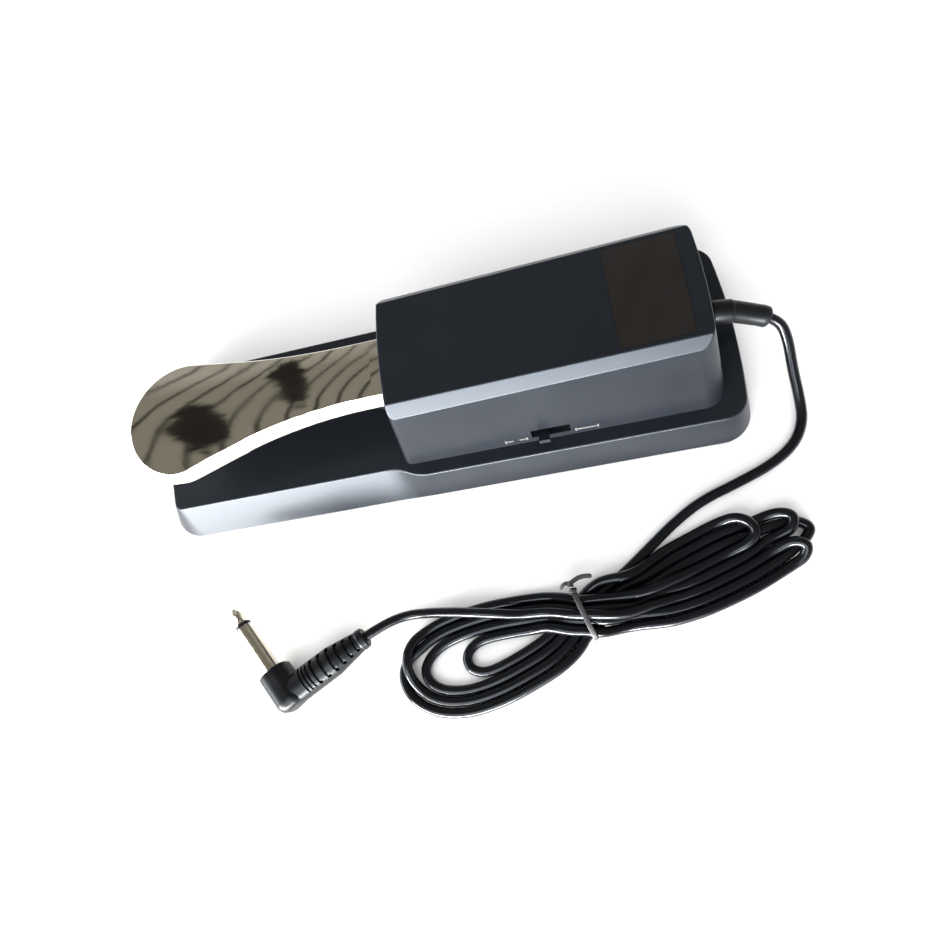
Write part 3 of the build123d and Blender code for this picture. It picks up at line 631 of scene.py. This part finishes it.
def tie_end(phase, reach, lift):
    """One end: twisted once and a half with the other, then bent away along the hank."""
    twist = []
    for i in range(TWIST_POINTS):
        share = i / (TWIST_POINTS - 1)
        turn = 3 * math.pi * share + phase
        across = TWIST_AT[0] + TWIST_RUN[0] * share
        up = TWIST_AT[1] + TWIST_RUN[1] * share
        twist.append(at_tie(TWIST_R * math.cos(turn), across, up + TWIST_R * math.sin(turn)))
    top = twist[-1][2]
    far = TWIST_AT[0] + TWIST_RUN[0]
    bow = []
    for k in range(2, BOW_POINTS + 1):
        share = k / BOW_POINTS
        across = far + BOW * math.sin(math.pi * share) - 0.5 * share
        bow.append(at_tie(reach * share, across, top + lift * share))
    return np.array(twist + bow)


def make_tie():
    points, faces = [], []
    lines = [(tie_band(), ALONG, True),
             (tie_end(0, 8.5, -1.6), ACROSS, False),
             (tie_end(math.pi, -4.0, -0.9), ACROSS, False)]
    for line, side, closed in lines:
        faces += ring_faces(len(line), len(STRIP), closed, len(points))
        points += ribbon_along(line, STRIP, (*side, 0), closed)
    piece = add_mesh("twist_tie", points, faces, "black_plastic", material=FINISH["tie_plastic"])
    soften = piece.modifiers.new("soften", "SUBSURF")
    soften.levels = soften.render_levels = 1
    return piece


tie = make_tie()
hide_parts("cable_tie")


# ---------------------------------------------------------------- strain relief
RELIEF = [(104.6, 0, 28.0), (111.5, 0, 28.0), (118.0, -0.4, 27.2), (124.5, -1.6, 25.1), EXIT]
RELIEF_AROUND = 36
# Distance from the clamped end, and radius.
RELIEF_FORM = [(0, 1.95), (0, 4.9), (0.3, 5.2), (1.9, 5.2), (2.2, 4.9),  # collar
               (2.3, 3.6), (6.1, 3.6), (6.25, 4.1), (6.5, 4.35),         # neck and shoulder
               (7.0, 4.45), (12.6, 4.3),                                 # thick half
               (13.0, 4.22), (13.25, 4.02), (13.7, 3.96), (23.8, 3.8),   # step and thin half
               (24.1, 3.86), (25.9, 3.82), (26.4, 3.66), (26.7, 3.3), (26.75, 1.95)]
relief = add_mesh("strain_relief_boot",
                  turned_along(centre_line(RELIEF), RELIEF_FORM, RELIEF_AROUND),
                  ring_faces(len(RELIEF_FORM), RELIEF_AROUND, False), "black_plastic",
                  material=FINISH["boot_rubber"])
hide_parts("strain_relief")


# ---------------------------------------------------------------- switch marks
# The housing's near side wall: (distance from the middle, height) at its foot and its upper end.
WALL_FOOT = (30.3, 15.3)
WALL_TOP = (22.2, 56.0)
SLOT_Z = 20.2
MARK_DROP = -2.3       # the marks' middle, below the slot's
MARK_LAYERS = [(0, -0.05), (0, 0.03), (0.08, 0.06)]  # in from the bar's edge, and out of the wall


def wall_spot(x, up, out):
    """A point on the wall, by its height along the wall from the switch slot."""
    lean = math.atan((WALL_FOOT[0] - WALL_TOP[0]) / (WALL_TOP[1] - WALL_FOOT[1]))
    z = SLOT_Z + up * math.cos(lean)
    y = -(WALL_FOOT[0] - math.tan(lean) * (z - WALL_FOOT[1]))
    return (x, y - out * math.cos(lean), z + out * math.sin(lean))


def make_mark(name, middle, bars):
    """Printed bars, each (left, bottom, width, height) about the middle, slightly raised."""
    points, faces = [], []
    for left, bottom, width, height in bars:
        first = len(points)
        for inset, out in MARK_LAYERS:
            right, top = width - inset, height - inset
            for dx, dz in ((inset, inset), (right, inset), (right, top), (inset, top)):
                points.append(wall_spot(middle + left + dx, MARK_DROP + bottom + dz, out))
        faces += ring_faces(len(MARK_LAYERS), 4, False, first)
    return add_mesh(name, points, faces, "white_nylon", material=PRINT)


ends_of_mark = [(-4.4, -0.95, 0.8, 1.9), (3.6, -0.95, 0.8, 1.9)]
make_mark("mark_open_contact", 34.8,
          ends_of_mark + [(-3.4, -0.4, 2.3, 0.8), (1.1, -0.4, 2.3, 0.8)])
make_mark("mark_closed_contact", 61.3, ends_of_mark + [(-3.4, -0.4, 6.8, 0.8)])


# ---------------------------------------------------------------- floor and light
FLOOR_HALF = 4.0
FLOOR_Z = -0.0001      # a hair below the feet


def make_floor():
    mesh = bpy.data.meshes.new("floor")
    far = FLOOR_HALF
    corners = [(-far, -far, 0), (far, -far, 0), (far, far, 0), (-far, far, 0)]
    mesh.from_pydata(corners, [], [(0, 1, 2, 3)])
    floor = bpy.data.objects.new("floor", mesh)
    floor.location.z = FLOOR_Z
    bpy.context.scene.collection.objects.link(floor)
    f = Finish("floor_paper", roughness=0.8)
    f.put("Base Color", f.mix(f.noise(6, 2), (0.86, 0.86, 0.86), (0.88, 0.88, 0.88)))
    mesh.materials.append(f.material)


def area_light(name, place, target, size, power, colour):
    light = bpy.data.lights.new(name, "AREA")
    light.shape = "RECTANGLE"
    light.size, light.size_y = size
    light.energy = power
    light.color = colour
    holder = bpy.data.objects.new(name, light)
    holder.location = place
    holder.rotation_euler = (Vector(target) - Vector(place)).to_track_quat("-Z", "Y").to_euler()
    bpy.context.scene.collection.objects.link(holder)
    return holder


# What gloss mirrors: a warm ceiling with dark beams and two dark openings, brighter at its far end.
OPENINGS = [((-0.665, 0.29), 0.15), ((-0.49, 0.455), 0.12)]  # direction in plan, half size
OPENING_NARROW = 3.6   # how much narrower than long they are
BEAMS = 5.6            # how close they lie, as the wave texture's scale
LOW_WALL = (0.9, 0.93, 1.0)
CEILING = (0.25, 0.235, 0.19)
FAR_CEILING = (0.42, 0.40, 0.35)
SHADOW = (0.02, 0.018, 0.016)
SURROUND = (0.68, 0.68, 0.68)  # the room as a light


def make_room(tree):
    """An even pale surround as a light. Gloss mirrors a dim warm room with beams and openings."""
    n = Nodes(tree, "Generated")
    split = n.node("ShaderNodeSeparateXYZ")
    n.link(n.place, split.inputs[0])
    x, y, z = split.outputs
    room = n.mix(n.span(z, 0.05, 0.45, 0, 1), LOW_WALL, CEILING)
    room = n.mix(n.span(y, 0.52, 0.60, 0, 1), room, FAR_CEILING)
    bent = n.node("ShaderNodeCombineXYZ")
    sweep = n.math("POWER", n.math("MAXIMUM", y, 0.0), 3.0)
    n.link(n.math("SUBTRACT", x, sweep), bent.inputs[0])
    n.link(y, bent.inputs[1])
    dark = n.span(n.bands(BEAMS, "X", 1.0, bent.outputs[0]), 0.86, 0.97, 0, 0.9)
    ragged = n.math("MULTIPLY", n.noise(14.0, 4, 0.65), 0.22)
    for middle, half in OPENINGS:
        apart = n.node("ShaderNodeVectorMath", operation="DISTANCE")
        n.link(n.stretched((OPENING_NARROW, 1, 0)), apart.inputs[0])
        apart.inputs[1].default_value = (OPENING_NARROW * middle[0], middle[1], 0)
        edge = n.math("ADD", apart.outputs["Value"], ragged)
        dark = n.math("MAXIMUM", dark, n.span(edge, half + 0.10, half + 0.13, 1, 0))
    dark = n.math("MULTIPLY", dark, n.span(z, 0.30, 0.42, 0, 1))
    room = n.mix(dark, room, SHADOW)
    glossy = n.node("ShaderNodeLightPath").outputs["Is Glossy Ray"]
    return n.mix(glossy, SURROUND, room)


DAYLIGHT = (0.94, 0.97, 1.0)


def make_light():
    """Three windows at the front left, one at the left for gloss only, and a soft fill overhead."""
    world = bpy.data.worlds.new("studio")
    world.use_nodes = True
    tree = world.node_tree
    tree.links.new(make_room(tree), tree.nodes["Background"].inputs["Color"])
    bpy.context.scene.world = world
    area_light("window", (-0.5, -1.5, 0.42), (0, 0, 0.2), (2.6, 0.8), 40, DAYLIGHT)
    area_light("sill", (-0.60, -1.38, 0.13), (0, 0, 0.05), (1.9, 0.26), 190, (1.0, 0.95, 0.88))
    area_light("upper_window", (-0.4, -1.0, 1.2), (0, 0, 0), (1.2, 0.6), 13, DAYLIGHT)
    side_window = area_light("side_window", (-1.2, -0.1, 0.3), (-0.06, -0.1, 0), (1.0, 0.45), 15,
                             (0.9, 0.95, 1.0))
    side_window.visible_diffuse = False
    fill = area_light("fill", (0.1, 0.2, 2.4), (0, 0, 0), (3.0, 3.0), 22, (1.0, 0.99, 0.98))
    fill.visible_glossy = False


make_floor()
make_light()
bpy.context.scene.view_settings.view_transform = "Standard"
